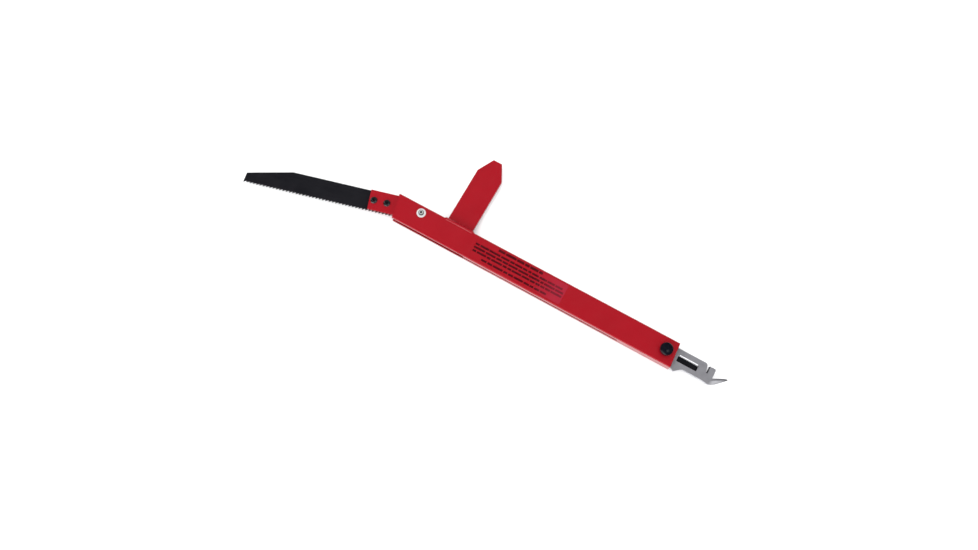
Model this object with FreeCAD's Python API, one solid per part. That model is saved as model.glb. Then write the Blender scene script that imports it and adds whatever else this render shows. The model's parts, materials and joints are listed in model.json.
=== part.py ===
"""Vehicle rescue tool: a rectangular steel handle with a folding windscreen saw at one end, a welded
prying fin on its side, and a strap and sheet-metal cutter plate clamped in its other end.

Frame, in millimetres: the origin is the centre of the handle's underside, +X runs along the handle
towards the cutter, +Y towards the prying fin, and +Z up.
"""
import FreeCAD, Part
import math
import os

Vector = FreeCAD.Vector

# Handle: 1-1/2 x 3/4 inch rectangular steel tube, 18 inches long on its fin side
TUBE_LENGTH = 457.2
TUBE_WIDTH = 38.1
TUBE_HEIGHT = 19.05
TUBE_WALL = 2.1
TUBE_CORNER = 2.4
SAW_END_BEVEL = 12.7
CUTTER_END_BEVEL = 3.6
HALF_LENGTH = TUBE_LENGTH / 2
HALF_WIDTH = TUBE_WIDTH / 2
INNER_HALF_WIDTH = HALF_WIDTH - TUBE_WALL
INNER_BOTTOM = TUBE_WALL
INNER_TOP = TUBE_HEIGHT - TUBE_WALL
MID_HEIGHT = TUBE_HEIGHT / 2

# Slot in the handle's saw-side wall, into which the saw folds
WIDE_SLOT_BOTTOM = 5.3
WIDE_SLOT_TOP = 15.6
WIDE_SLOT_END = -101.0
BLADE_SLOT_HEIGHT = 5.0
BLADE_SLOT_END = 150.0

# Prying fin: 1-5/8 x 1/4 inch flat bar, pointed, welded to the handle
FIN_WIDTH = 41.0
FIN_THICKNESS = 6.35
FIN_CENTRE_X = -128.0
FIN_SHOULDER_Y = 108.9
FIN_TIP_Y = 134.2
FIN_TIP_WIDTH = 14.0
FIN_EDGE_ROUND = 0.5
WELD_LEG = 3.8
WELD_HEIGHT = 5.6
WELD_SIDE = 4.2
WELD_TOE = 0.2

# Saw pivot and the saw's own axes: u runs outwards along the blade, v towards the blade's back
PIVOT_X = -185.6
PIVOT_Y = 7.6
SAW_TILT = 15.4
ARM_TAIL_RADIUS = 9.2
ARM_BACK = 20.2
ARM_FRONT = -10.3
ARM_END_BACK = 82.0
ARM_END_FRONT = 80.0
ARM_TAPER_END = 22.0
CHEEK_THICKNESS = 2.5
CHEEK_EDGE_ROUND = 0.4
BLADE_THICKNESS = 1.6
CORE_END = 29.9

BLADE_BACK = 19.3
TOOTH_TIP = -12.6
TOOTH_DEPTH = 2.3
TOOTH_PITCH = 5.08
TOOTH_RAKE = 0.32
GULLET_FLAT = 0.9
TOOTH_COUNT = 45
TANG_START = 30.0
TANG_BACK = 16.6
TANG_FRONT_EDGE = -8.0
TANG_BACK_END = 38.4
TANG_FRONT_END = 38.0
TEETH_START = 42.0
BLADE_SHOULDER = 202.0
NOSE_TOP = (269.4, 2.5)

ARM_THICKNESS = 2 * CHEEK_THICKNESS + BLADE_THICKNESS
ARM_BOTTOM = MID_HEIGHT - ARM_THICKNESS / 2
ARM_TOP = MID_HEIGHT + ARM_THICKNESS / 2
BLADE_BOTTOM = MID_HEIGHT - BLADE_THICKNESS / 2
BLADE_TOP = MID_HEIGHT + BLADE_THICKNESS / 2

# Saw hardware
BLADE_SCREWS = [(54.1, 4.6), (73.7, 4.6)]
BLADE_SCREW_RADIUS = 3.0
BLADE_SCREW_HEAD_RADIUS = 5.2
BLADE_SCREW_HEAD_HEIGHT = 2.2
BLADE_SCREW_HEAD_ROUND = 1.7
BLADE_SCREW_SOCKET = 4.0
BLADE_SCREW_SOCKET_DEPTH = 1.5
ARM_RIVETS = [(16.0, 8.0), (22.0, -3.5)]
ARM_RIVET_RADIUS = 2.5
SLEEVE_RADIUS = 4.0
SLEEVE_HEAD_RADIUS = 5.6
SLEEVE_SOCKET = 4.0
SLEEVE_SOCKET_DEPTH = 2.5
SLEEVE_THREAD_BOTTOM = 4.5
BUSH_OUTER_RADIUS = 5.0
RUNNING_CLEARANCE = 0.05
SPACER_RADIUS = 8.0
SPACER_GAP = 0.075
PIVOT_SCREW_RADIUS = 2.5
PIVOT_HEAD_RADIUS = 4.0
PIVOT_HEAD_HEIGHT = 3.2
PIVOT_HEAD_ROUND = 0.7
PIVOT_SOCKET = 3.0
PIVOT_SOCKET_DEPTH = 2.0
PIVOT_WASHER_RADIUS = 6.75
PIVOT_WASHER_THICKNESS = 1.0

# Cutter plate
PLATE_THICKNESS = 4.0
TANG_LEFT = 160.0
TANG_TOP = 13.5
TANG_FRONT = -14.9
EAR_GAP = 0.3
EAR_START_Y = -16.6
EAR_TIP = (237.3, -20.1)
EAR_BACK = (245.6, -12.9)
BODY_START_X = 248.5
BODY_FRONT = -11.6
PLATE_CHAMFER = 2.2
PLATE_BOTTOM = MID_HEIGHT - PLATE_THICKNESS / 2
PLATE_TOP = MID_HEIGHT + PLATE_THICKNESS / 2
WINDOW = (234.8, -4.7, 266.0, 4.4)
WINDOW_CORNER = 1.5
WINDOW_BEVEL = 1.2
NOTCH_LEFT_TOP_X = 276.4
NOTCH_LEFT_BOTTOM_X = 278.7
NOTCH_RIGHT_X = 281.2
NOTCH_BOTTOM_Y = 0.6
FINGER_TOP_Y = 11.6
FINGER_RIGHT_TOP_X = 289.8
FINGER_CHAMFER = 1.5
HEEL_START_X = 277.0
HEEL = (283.0, -12.4)

# Piercing beak, from root to tip: points on its edges, and half its thickness at the edges and the ridge
BEAK_UPPER = [(289.8, -2.6), (295.3, 0.6), (300.1, 3.3), (305.1, 5.9), (308.8, 6.9), (310.3, 6.4)]
BEAK_LOWER = [(287.2, -13.1), (292.0, -12.0), (296.5, -8.5), (301.7, -3.3), (307.5, 2.7), (309.9, 5.0)]
BEAK_EDGE = [2.0, 1.2, 0.6, 0.35, 0.25, 0.2]
BEAK_RIDGE = [2.0, 1.95, 1.75, 1.4, 0.9, 0.4]
BEAK_RIDGE_SHARE = 0.35

# Cutter clamp
STUD_X = 214.8
STUD_Y = 0.6
STUD_RADIUS = 3.97
STUD_NECK_RADIUS = 3.5
STUD_SLOT_WIDTH = 8.3
STUD_FOOT = 0.4
STUD_THREAD_TOP = TUBE_HEIGHT - 0.3
STUD_HEAD = 11.0
STUD_HEAD_HEIGHT = 4.5
STUD_HEAD_SINK = 0.5
CUTTER_TRAVEL = 30.0
CLAMP_HOLE_RADIUS = 4.2
GUIDE_LEFT = 165.0
GUIDE_RIGHT = 226.0
GUIDE_GAP = 0.08
GUIDE_CHAMFER = 1.2
CLAMP_WASHER_RADIUS = 8.2
CLAMP_WASHER_THICKNESS = 1.2
CLAMP_WASHER_CHAMFER = 0.3
KNOB_RADIUS = 9.2
KNOB_SKIRT_HEIGHT = 6.8
KNOB_HEIGHT = 10.2
KNOB_FOOT_BEVEL = 0.7
KNOB_FLUTES = 20
KNOB_FLUTE_RADIUS = 0.75
NUT_RADIUS = 5.5
NUT_FLANGE_RADIUS = 7.0
NUT_FLANGE_THICKNESS = 1.0
NUT_TOP = 6.2

# Strap blade, fixed under the cutter plate
STRAP_BLADE_THICKNESS = 1.2
STRAP_BLADE_TOP_Y = 4.0
STRAP_BLADE_LIP = 1.75
STRAP_BLADE_EDGE = 0.2
STRAP_BLADE_LEFT = 233.2
STRAP_BLADE_FRONT_Y = -6.4
STRAP_BLADE_HEEL_Y = -8.0
STRAP_BLADE_RIGHT = 287.4
STRAP_BLADE_HOOK_Y = 12.6
PIN_RADIUS = 1.25
PIN_DEPTH = 2.4
PIN_PLACES = [(270.6, -3.4), (284.6, -3.4)]

# Label on the handle's top face
LABEL_LEFT = -94.5
LABEL_RIGHT = 53.5
LABEL_FRONT = -15.4
LABEL_BACK = 15.9
LABEL_THICKNESS = 0.15
LABEL_CORNER = 2.5


def prism(points, bottom, top):
    """Upright solid over a closed outline in XY."""
    corners = [Vector(x, y, bottom) for x, y in points]
    wire = Part.makePolygon(corners + corners[:1])
    return Part.Face(wire).extrude(Vector(0, 0, top - bottom))


def disc(x, y, radius, bottom, top):
    """Upright cylinder."""
    return Part.makeCylinder(radius, top - bottom, Vector(x, y, bottom))


def ring(x, y, outer, inner, bottom, top):
    """Upright ring."""
    return disc(x, y, outer, bottom, top).cut(disc(x, y, inner, bottom - 1, top + 1))


def hexagon(x, y, across_flats, bottom, top):
    """Upright hexagonal prism."""
    radius = across_flats / 2 / math.cos(math.pi / 6)
    angles = [math.pi / 3 * step for step in range(6)]
    return prism([(x + radius * math.cos(a), y + radius * math.sin(a)) for a in angles], bottom, top)


def edges_at(shape, height):
    """Edges that lie wholly at this height."""
    return [edge for edge in shape.Edges if edge.BoundBox.ZMin > height - 0.01]


def edges_along(shape, direction):
    """Straight edges that run along this direction."""
    return [edge for edge in shape.Edges if abs(edge.tangentAt(edge.FirstParameter).dot(direction)) > 0.99]


def rounded_slot(left, right, y, width, bottom, top):
    """Upright solid with round ends, running along X."""
    radius = width / 2
    bar = Part.makeBox(right - left - width, width, top - bottom, Vector(left + radius, y - radius, bottom))
    ends = [disc(left + radius, y, radius, bottom, top), disc(right - radius, y, radius, bottom, top)]
    return bar.fuse(ends).removeSplitter()


def saw_xy(u, v):
    """Point on the saw, from its own axes to the frame's, with the saw open."""
    tilt = math.radians(SAW_TILT)
    x = PIVOT_X - u * math.cos(tilt) - v * math.sin(tilt)
    y = PIVOT_Y - u * math.sin(tilt) + v * math.cos(tilt)
    return (x, y)


def saw_prism(points, bottom, top):
    """Upright solid over an outline that is given in the saw's axes."""
    return prism([saw_xy(u, v) for u, v in points], bottom, top)


def saw_disc(u, v, radius, bottom, top):
    """Upright cylinder at a place given in the saw's axes."""
    x, y = saw_xy(u, v)
    return disc(x, y, radius, bottom, top)


def rounded_bar(half_width, bottom, top, corner, left, right):
    """Solid bar along X with its four long edges rounded."""
    bar = Part.makeBox(right - left, 2 * half_width, top - bottom, Vector(left, -half_width, bottom))
    return bar.makeFillet(corner, edges_along(bar, Vector(1, 0, 0)))


def handle_end_x(side, y):
    """Where the handle is sawn off, at this distance across it."""
    if side == "saw":
        return -HALF_LENGTH + (HALF_WIDTH - y) * math.tan(math.radians(SAW_END_BEVEL))
    return HALF_LENGTH + (HALF_WIDTH - y) * math.tan(math.radians(CUTTER_END_BEVEL))


def fold_slot():
    """Opening in the saw-side wall: tall for the saw's arm, then low for its blade."""
    wall_y = -HALF_WIDTH - 1
    depth = TUBE_WALL + 2
    left = -HALF_LENGTH - 5
    height = WIDE_SLOT_TOP - WIDE_SLOT_BOTTOM
    wide = Part.makeBox(WIDE_SLOT_END - left, depth, height, Vector(left, wall_y, WIDE_SLOT_BOTTOM))
    radius = BLADE_SLOT_HEIGHT / 2
    length = BLADE_SLOT_END - radius - left
    low = Part.makeBox(length, depth, BLADE_SLOT_HEIGHT, Vector(left, wall_y, MID_HEIGHT - radius))
    end_centre = Vector(BLADE_SLOT_END - radius, wall_y, MID_HEIGHT)
    end = Part.makeCylinder(radius, depth, end_centre, Vector(0, 1, 0))
    return wide.fuse([low, end]).removeSplitter()


def handle_tube():
    reach = HALF_LENGTH + 20
    outer = rounded_bar(HALF_WIDTH, 0, TUBE_HEIGHT, TUBE_CORNER, -reach, reach)
    inner_corner = TUBE_CORNER - TUBE_WALL
    inner = rounded_bar(INNER_HALF_WIDTH, INNER_BOTTOM, INNER_TOP, inner_corner, -reach - 1, reach + 1)
    side = HALF_WIDTH + 5
    sawn = prism(
        [
            (handle_end_x("saw", -side), -side),
            (handle_end_x("cutter", -side), -side),
            (handle_end_x("cutter", side), side),
            (handle_end_x("saw", side), side),
        ],
        -1,
        TUBE_HEIGHT + 1,
    )
    tube = outer.cut(inner).common(sawn).cut(fold_slot())
    pivot_top = disc(PIVOT_X, PIVOT_Y, PIVOT_SCREW_RADIUS, INNER_TOP - 1, TUBE_HEIGHT + 1)
    tube = tube.cut([pivot_top, sleeve_body()])
    stud_top = disc(STUD_X, STUD_Y, CLAMP_HOLE_RADIUS, INNER_TOP - 1, TUBE_HEIGHT + 1)
    nut_hole = disc(STUD_X, STUD_Y, NUT_RADIUS, -1, INNER_BOTTOM + 1)
    return tube.cut([stud_top, nut_hole])


def pry_fin():
    left = FIN_CENTRE_X - FIN_WIDTH / 2
    right = FIN_CENTRE_X + FIN_WIDTH / 2
    tip_left = FIN_CENTRE_X - FIN_TIP_WIDTH / 2
    tip_right = FIN_CENTRE_X + FIN_TIP_WIDTH / 2
    outline = [
        (left, HALF_WIDTH),
        (right, HALF_WIDTH),
        (right, FIN_SHOULDER_Y),
        (tip_right, FIN_TIP_Y),
        (tip_left, FIN_TIP_Y),
        (left, FIN_SHOULDER_Y),
    ]
    blank = prism(outline, MID_HEIGHT - FIN_THICKNESS / 2, MID_HEIGHT + FIN_THICKNESS / 2)
    free_edges = [edge for edge in blank.Edges if edge.BoundBox.YMax > HALF_WIDTH + 1]
    return blank.makeFillet(FIN_EDGE_ROUND, free_edges)


def fin_section(y, margin_x, margin_z):
    """Rectangle round the fin's section, at this distance across the handle."""
    half_width = FIN_WIDTH / 2 + margin_x
    half_height = FIN_THICKNESS / 2 + margin_z
    corners = [(-1, -1), (1, -1), (1, 1), (-1, 1), (-1, -1)]
    points = [Vector(FIN_CENTRE_X + i * half_width, y, MID_HEIGHT + j * half_height) for i, j in corners]
    return Part.makePolygon(points)


def fin_weld():
    """Fillet weld all round the fin's root, up to the handle's rounded corners."""
    buried = HALF_WIDTH - TUBE_CORNER
    sections = [
        fin_section(buried, WELD_SIDE, WELD_HEIGHT),
        fin_section(HALF_WIDTH, WELD_SIDE, WELD_HEIGHT),
        fin_section(HALF_WIDTH + WELD_LEG, WELD_TOE, WELD_TOE),
    ]
    reach = HALF_LENGTH + 20
    handle = rounded_bar(HALF_WIDTH, 0, TUBE_HEIGHT, TUBE_CORNER, -reach, reach)
    return Part.makeLoft(sections, True, True).cut([handle, pry_fin()])


def label_film():
    length = LABEL_RIGHT - LABEL_LEFT
    width = LABEL_BACK - LABEL_FRONT
    film = Part.makeBox(length, width, LABEL_THICKNESS, Vector(LABEL_LEFT, LABEL_FRONT, TUBE_HEIGHT))
    return film.makeFillet(LABEL_CORNER, edges_along(film, Vector(0, 0, 1)))


def sleeve_body():
    """Outside of the pivot's sleeve nut, with its countersunk head flush in the underside."""
    head_depth = SLEEVE_HEAD_RADIUS - SLEEVE_RADIUS
    base = Vector(PIVOT_X, PIVOT_Y, 0)
    head = Part.makeCone(SLEEVE_HEAD_RADIUS, SLEEVE_RADIUS, head_depth, base)
    return head.fuse(disc(PIVOT_X, PIVOT_Y, SLEEVE_RADIUS, 0, INNER_TOP - 0.2)).removeSplitter()


def pivot_sleeve():
    """Sleeve nut that the saw turns on, with a socket in its head and the screw's thread above."""
    thread = disc(PIVOT_X, PIVOT_Y, PIVOT_SCREW_RADIUS, SLEEVE_THREAD_BOTTOM, TUBE_HEIGHT)
    socket = hexagon(PIVOT_X, PIVOT_Y, SLEEVE_SOCKET, -1, SLEEVE_SOCKET_DEPTH)
    return sleeve_body().cut([thread, socket])


def pivot_screw():
    """Socket screw that closes the pivot from above."""
    seat = TUBE_HEIGHT + PIVOT_WASHER_THICKNESS
    top = seat + PIVOT_HEAD_HEIGHT
    shank = disc(PIVOT_X, PIVOT_Y, PIVOT_SCREW_RADIUS, SLEEVE_THREAD_BOTTOM + 0.5, seat)
    head = disc(PIVOT_X, PIVOT_Y, PIVOT_HEAD_RADIUS, seat, top)
    head = head.makeFillet(PIVOT_HEAD_ROUND, edges_at(head, top))
    socket = hexagon(PIVOT_X, PIVOT_Y, PIVOT_SOCKET, top - PIVOT_SOCKET_DEPTH, top + 1)
    return shank.fuse(head).removeSplitter().cut(socket)


def pivot_washer():
    top = TUBE_HEIGHT + PIVOT_WASHER_THICKNESS
    return ring(PIVOT_X, PIVOT_Y, PIVOT_WASHER_RADIUS, PIVOT_SCREW_RADIUS + 0.15, TUBE_HEIGHT, top)


def pivot_spacer(bottom, top):
    """Ring on the sleeve that keeps the saw's arm at mid-height."""
    return ring(PIVOT_X, PIVOT_Y, SPACER_RADIUS, SLEEVE_RADIUS + RUNNING_CLEARANCE, bottom, top)


def spacer_lower():
    return pivot_spacer(INNER_BOTTOM, ARM_BOTTOM - SPACER_GAP)


def spacer_upper():
    return pivot_spacer(ARM_TOP + SPACER_GAP, INNER_TOP)


def tangent_point(u, v, turn):
    """Where a line from (u, v) touches the round tail about the pivot, on the side given by turn."""
    distance = math.hypot(u, v)
    spread = math.acos(ARM_TAIL_RADIUS / distance)
    angle = math.atan2(v, u) + turn * spread
    return (ARM_TAIL_RADIUS * math.cos(angle), ARM_TAIL_RADIUS * math.sin(angle))


def arm_blank(bottom, top):
    """Arm outline: round tail, back edge trimmed to lie along the handle's wall, square outer end."""
    tilt = math.radians(SAW_TILT)
    trim_end = ((ARM_BACK * math.cos(tilt) - ARM_TAIL_RADIUS) / math.sin(tilt), ARM_BACK)
    trim_start = (-ARM_TAIL_RADIUS * math.sin(tilt), ARM_TAIL_RADIUS * math.cos(tilt))
    taper_end = (ARM_TAPER_END, ARM_FRONT)
    taper_start = tangent_point(taper_end[0], taper_end[1], -1)
    outline = [
        (0, 0),
        trim_start,
        trim_end,
        (ARM_END_BACK, ARM_BACK),
        (ARM_END_FRONT, ARM_FRONT),
        taper_end,
        taper_start,
    ]
    tail = disc(PIVOT_X, PIVOT_Y, ARM_TAIL_RADIUS, bottom, top)
    return saw_prism(outline, bottom, top).fuse(tail).removeSplitter()


def arm_holes(bottom, top):
    """Holes through the arm for its bush, rivets and blade screws."""
    holes = [disc(PIVOT_X, PIVOT_Y, BUSH_OUTER_RADIUS, bottom - 1, top + 1)]
    holes += [saw_disc(u, v, ARM_RIVET_RADIUS, bottom - 1, top + 1) for u, v in ARM_RIVETS]
    holes += [saw_disc(u, v, BLADE_SCREW_RADIUS, bottom - 1, top + 1) for u, v in BLADE_SCREWS]
    return holes


def arm_cheek(bottom):
    """One of the arm's two side plates, with its outer edges rounded."""
    top = bottom + CHEEK_THICKNESS
    blank = arm_blank(bottom, top)
    outer = edges_at(blank, top)
    if bottom < MID_HEIGHT - BLADE_THICKNESS:
        outer = [edge for edge in blank.Edges if edge.BoundBox.ZMax < bottom + 0.01]
    return blank.makeFillet(CHEEK_EDGE_ROUND, outer).cut(arm_holes(bottom, top))


def arm_core():
    """Filler between the cheeks, from the tail to the blade's tang."""
    reach = 2 * ARM_BACK
    corners = [(-reach, -reach), (CORE_END, -reach), (CORE_END, reach), (-reach, reach)]
    keep = saw_prism(corners, BLADE_BOTTOM, BLADE_TOP)
    return arm_blank(BLADE_BOTTOM, BLADE_TOP).common(keep).cut(arm_holes(BLADE_BOTTOM, BLADE_TOP))


def tooth_points():
    """Points along the toothed edge, from the nose back to the arm."""
    points = []
    nose_u = TEETH_START + TOOTH_COUNT * TOOTH_PITCH
    for index in range(TOOTH_COUNT):
        tip = nose_u - index * TOOTH_PITCH
        root = TOOTH_TIP + TOOTH_DEPTH
        points.append((tip, TOOTH_TIP))
        points.append((tip - TOOTH_PITCH + TOOTH_RAKE + GULLET_FLAT, root))
        points.append((tip - TOOTH_PITCH + TOOTH_RAKE, root))
    points.append((TEETH_START, TOOTH_TIP + TOOTH_DEPTH))
    return points


def saw_blade():
    outline = [(TANG_START, TANG_FRONT_EDGE), (TANG_START, TANG_BACK), (TANG_BACK_END, BLADE_BACK)]
    outline += [(BLADE_SHOULDER, BLADE_BACK), NOSE_TOP]
    outline += tooth_points()
    outline += [(TANG_FRONT_END, TANG_FRONT_EDGE)]
    blade = saw_prism(outline, BLADE_BOTTOM, BLADE_TOP)
    return blade.cut(arm_holes(BLADE_BOTTOM, BLADE_TOP))


def blade_screw(u, v):
    """Button-head socket screw, threaded into the lower cheek and flush with it."""
    x, y = saw_xy(u, v)
    top = ARM_TOP + BLADE_SCREW_HEAD_HEIGHT
    shank = disc(x, y, BLADE_SCREW_RADIUS, ARM_BOTTOM, ARM_TOP)
    head = disc(x, y, BLADE_SCREW_HEAD_RADIUS, ARM_TOP, top)
    head = head.makeFillet(BLADE_SCREW_HEAD_ROUND, edges_at(head, top))
    socket = hexagon(x, y, BLADE_SCREW_SOCKET, top - BLADE_SCREW_SOCKET_DEPTH, top + 1)
    return shank.fuse(head).removeSplitter().cut(socket)


def blade_screws():
    return Part.makeCompound([blade_screw(u, v) for u, v in BLADE_SCREWS])


def arm_rivets():
    """Flush rivets that hold the cheeks and the core together."""
    return Part.makeCompound([saw_disc(u, v, ARM_RIVET_RADIUS, ARM_BOTTOM, ARM_TOP) for u, v in ARM_RIVETS])


def pivot_bush():
    inner = SLEEVE_RADIUS + RUNNING_CLEARANCE
    return ring(PIVOT_X, PIVOT_Y, BUSH_OUTER_RADIUS, inner, ARM_BOTTOM, ARM_TOP)


def beak():
    """Piercing beak: leaf-shaped, thick along its ridge and ground to an edge on both sides."""
    sections = []
    for upper_xy, lower_xy, edge, ridge in zip(BEAK_UPPER, BEAK_LOWER, BEAK_EDGE, BEAK_RIDGE):
        upper = Vector(upper_xy[0], upper_xy[1], MID_HEIGHT)
        lower = Vector(lower_xy[0], lower_xy[1], MID_HEIGHT)
        middle = upper + (lower - upper) * BEAK_RIDGE_SHARE
        rise = Vector(0, 0, edge)
        crest = Vector(0, 0, ridge)
        corners = [upper + rise, middle + crest, lower + rise, lower - rise, middle - crest, upper - rise]
        sections.append(Part.makePolygon(corners + corners[:1]))
    return Part.makeLoft(sections, True, True)


def cutter_plate():
    body = [
        (TANG_LEFT, TANG_FRONT),
        (handle_end_x("cutter", TANG_FRONT) + EAR_GAP, TANG_FRONT),
        (handle_end_x("cutter", EAR_START_Y) + EAR_GAP, EAR_START_Y),
        EAR_TIP,
        EAR_BACK,
        (BODY_START_X, BODY_FRONT),
        (HEEL_START_X, BODY_FRONT),
        HEEL,
        BEAK_LOWER[0],
        BEAK_UPPER[0],
        (FINGER_RIGHT_TOP_X, FINGER_TOP_Y - FINGER_CHAMFER),
        (FINGER_RIGHT_TOP_X - FINGER_CHAMFER, FINGER_TOP_Y),
        (NOTCH_RIGHT_X + FINGER_CHAMFER, FINGER_TOP_Y),
        (NOTCH_RIGHT_X, FINGER_TOP_Y - FINGER_CHAMFER),
        (NOTCH_RIGHT_X, NOTCH_BOTTOM_Y),
        (NOTCH_LEFT_BOTTOM_X, NOTCH_BOTTOM_Y),
        (NOTCH_LEFT_TOP_X, TANG_TOP - PLATE_CHAMFER),
        (NOTCH_LEFT_TOP_X - PLATE_CHAMFER, TANG_TOP),
        (TANG_LEFT, TANG_TOP),
    ]
    plate = prism(body, PLATE_BOTTOM, PLATE_TOP).fuse(beak())
    left, front, right, back = WINDOW
    depth = PLATE_THICKNESS + 2
    window = Part.makeBox(right - left, back - front, depth, Vector(left, front, PLATE_BOTTOM - 1))
    window = window.makeFillet(WINDOW_CORNER, edges_along(window, Vector(0, 0, 1)))
    bevel_foot = (back, PLATE_TOP - WINDOW_BEVEL)
    bevel_rim = (back + WINDOW_BEVEL + 1, PLATE_TOP + 1)
    bevel_outline = [bevel_foot, bevel_rim, (back, PLATE_TOP + 1)]
    bevel = bar_profile(bevel_outline, left + WINDOW_CORNER, right - WINDOW_CORNER)
    slot_right = STUD_X + STUD_SLOT_WIDTH / 2
    slot_left = slot_right - STUD_SLOT_WIDTH - CUTTER_TRAVEL
    slot = rounded_slot(slot_left, slot_right, STUD_Y, STUD_SLOT_WIDTH, PLATE_BOTTOM - 1, PLATE_TOP + 1)
    return plate.cut([window, bevel, slot, strap_blade_pins()])


def strap_blade():
    """Hooked blade under the plate: it shows in the window and its edge stands in the strap notch."""
    hook_left = NOTCH_RIGHT_X - STRAP_BLADE_LIP
    neck_top = NOTCH_BOTTOM_Y - 0.4
    outline = [
        (STRAP_BLADE_LEFT, STRAP_BLADE_FRONT_Y),
        (WINDOW[2] + 2, STRAP_BLADE_FRONT_Y),
        (NOTCH_LEFT_TOP_X, STRAP_BLADE_HEEL_Y),
        (STRAP_BLADE_RIGHT - 1.5, STRAP_BLADE_HEEL_Y),
        (STRAP_BLADE_RIGHT, STRAP_BLADE_HEEL_Y + 1.5),
        (STRAP_BLADE_RIGHT, FINGER_TOP_Y - 3),
        (STRAP_BLADE_RIGHT - 1.5, FINGER_TOP_Y - 1.5),
        (hook_left + 1.5, STRAP_BLADE_HOOK_Y),
        (hook_left, STRAP_BLADE_HOOK_Y - 1.5),
        (hook_left, NOTCH_BOTTOM_Y + 1),
        (hook_left - 1.2, neck_top),
        (WINDOW[2] + 6, neck_top),
        (WINDOW[2] + 2, STRAP_BLADE_TOP_Y),
        (STRAP_BLADE_LEFT, STRAP_BLADE_TOP_Y),
    ]
    underside = PLATE_BOTTOM - STRAP_BLADE_THICKNESS
    blank = prism(outline, underside, PLATE_BOTTOM)
    start_y = NOTCH_BOTTOM_Y + 1
    grind_corners = [
        Vector(hook_left, start_y, underside + STRAP_BLADE_EDGE),
        Vector(NOTCH_RIGHT_X, start_y, PLATE_BOTTOM),
        Vector(hook_left, start_y, PLATE_BOTTOM),
    ]
    grind_face = Part.Face(Part.makePolygon(grind_corners + grind_corners[:1]))
    grind = grind_face.extrude(Vector(0, STRAP_BLADE_HOOK_Y - NOTCH_BOTTOM_Y, 0))
    return blank.cut([grind, strap_blade_pins()])


def strap_blade_pins():
    """Short pins that hold the strap blade, in blind holes in the plate."""
    bottom = PLATE_BOTTOM - STRAP_BLADE_THICKNESS
    top = PLATE_BOTTOM + PIN_DEPTH
    return Part.makeCompound([disc(x, y, PIN_RADIUS, bottom, top) for x, y in PIN_PLACES])


def bar_profile(points, left, right):
    """Bar along X over a closed outline in YZ."""
    corners = [Vector(left, y, z) for y, z in points]
    return Part.Face(Part.makePolygon(corners + corners[:1])).extrude(Vector(right - left, 0, 0))


def guide_upper():
    """Nylon block between the plate and the handle's top wall."""
    side = INNER_HALF_WIDTH
    bottom = PLATE_TOP + GUIDE_GAP
    outline = [
        (-side, bottom),
        (side, bottom),
        (side, INNER_TOP - GUIDE_CHAMFER),
        (side - GUIDE_CHAMFER, INNER_TOP),
        (GUIDE_CHAMFER - side, INNER_TOP),
        (-side, INNER_TOP - GUIDE_CHAMFER),
    ]
    hole = disc(STUD_X, STUD_Y, CLAMP_HOLE_RADIUS, bottom - 1, INNER_TOP + 1)
    return bar_profile(outline, GUIDE_LEFT, GUIDE_RIGHT).cut(hole)


def guide_lower():
    """Nylon channel under the plate, with a rail along each of the plate's edges."""
    side = INNER_HALF_WIDTH
    floor = PLATE_BOTTOM - GUIDE_GAP
    rail_top = PLATE_TOP + GUIDE_GAP
    outline = [
        (GUIDE_CHAMFER - side, INNER_BOTTOM),
        (side - GUIDE_CHAMFER, INNER_BOTTOM),
        (side, INNER_BOTTOM + GUIDE_CHAMFER),
        (side, rail_top),
        (TANG_TOP + GUIDE_GAP, rail_top),
        (TANG_TOP + GUIDE_GAP, floor),
        (TANG_FRONT - GUIDE_GAP, floor),
        (TANG_FRONT - GUIDE_GAP, rail_top),
        (-side, rail_top),
        (-side, INNER_BOTTOM + GUIDE_CHAMFER),
    ]
    block = bar_profile(outline, GUIDE_LEFT, GUIDE_RIGHT)
    flange_top = INNER_BOTTOM + NUT_FLANGE_THICKNESS
    flange_pocket = disc(STUD_X, STUD_Y, NUT_FLANGE_RADIUS, INNER_BOTTOM - 1, flange_top)
    nut_pocket = disc(STUD_X, STUD_Y, NUT_RADIUS, INNER_BOTTOM, NUT_TOP)
    hole = disc(STUD_X, STUD_Y, CLAMP_HOLE_RADIUS, INNER_BOTTOM, rail_top + 1)
    return block.cut([flange_pocket, nut_pocket, hole])


def clamp_nut():
    """Flanged nut set flush in the handle's underside."""
    body = disc(STUD_X, STUD_Y, NUT_RADIUS, 0, NUT_TOP)
    flange = disc(STUD_X, STUD_Y, NUT_FLANGE_RADIUS, INNER_BOTTOM, INNER_BOTTOM + NUT_FLANGE_THICKNESS)
    bore = disc(STUD_X, STUD_Y, STUD_RADIUS + RUNNING_CLEARANCE, -1, NUT_TOP + 1)
    return body.fuse(flange).removeSplitter().cut(bore)


def clamp_washer():
    """Captive washer on the stud's neck."""
    top = TUBE_HEIGHT + CLAMP_WASHER_THICKNESS
    inner = STUD_NECK_RADIUS + RUNNING_CLEARANCE
    washer = ring(STUD_X, STUD_Y, CLAMP_WASHER_RADIUS, inner, TUBE_HEIGHT, top)
    outer_rim = max(edges_at(washer, top), key=lambda edge: edge.Length)
    return washer.makeChamfer(CLAMP_WASHER_CHAMFER, [outer_rim])


def clamp_stud():
    """Threaded stud, with its hexagonal head moulded into the knob."""
    head_bottom = TUBE_HEIGHT + CLAMP_WASHER_THICKNESS + STUD_HEAD_SINK
    thread = disc(STUD_X, STUD_Y, STUD_RADIUS, STUD_FOOT, STUD_THREAD_TOP)
    neck = disc(STUD_X, STUD_Y, STUD_NECK_RADIUS, STUD_THREAD_TOP, head_bottom)
    head = hexagon(STUD_X, STUD_Y, STUD_HEAD, head_bottom, head_bottom + STUD_HEAD_HEIGHT)
    return thread.fuse([neck, head]).removeSplitter()


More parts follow.
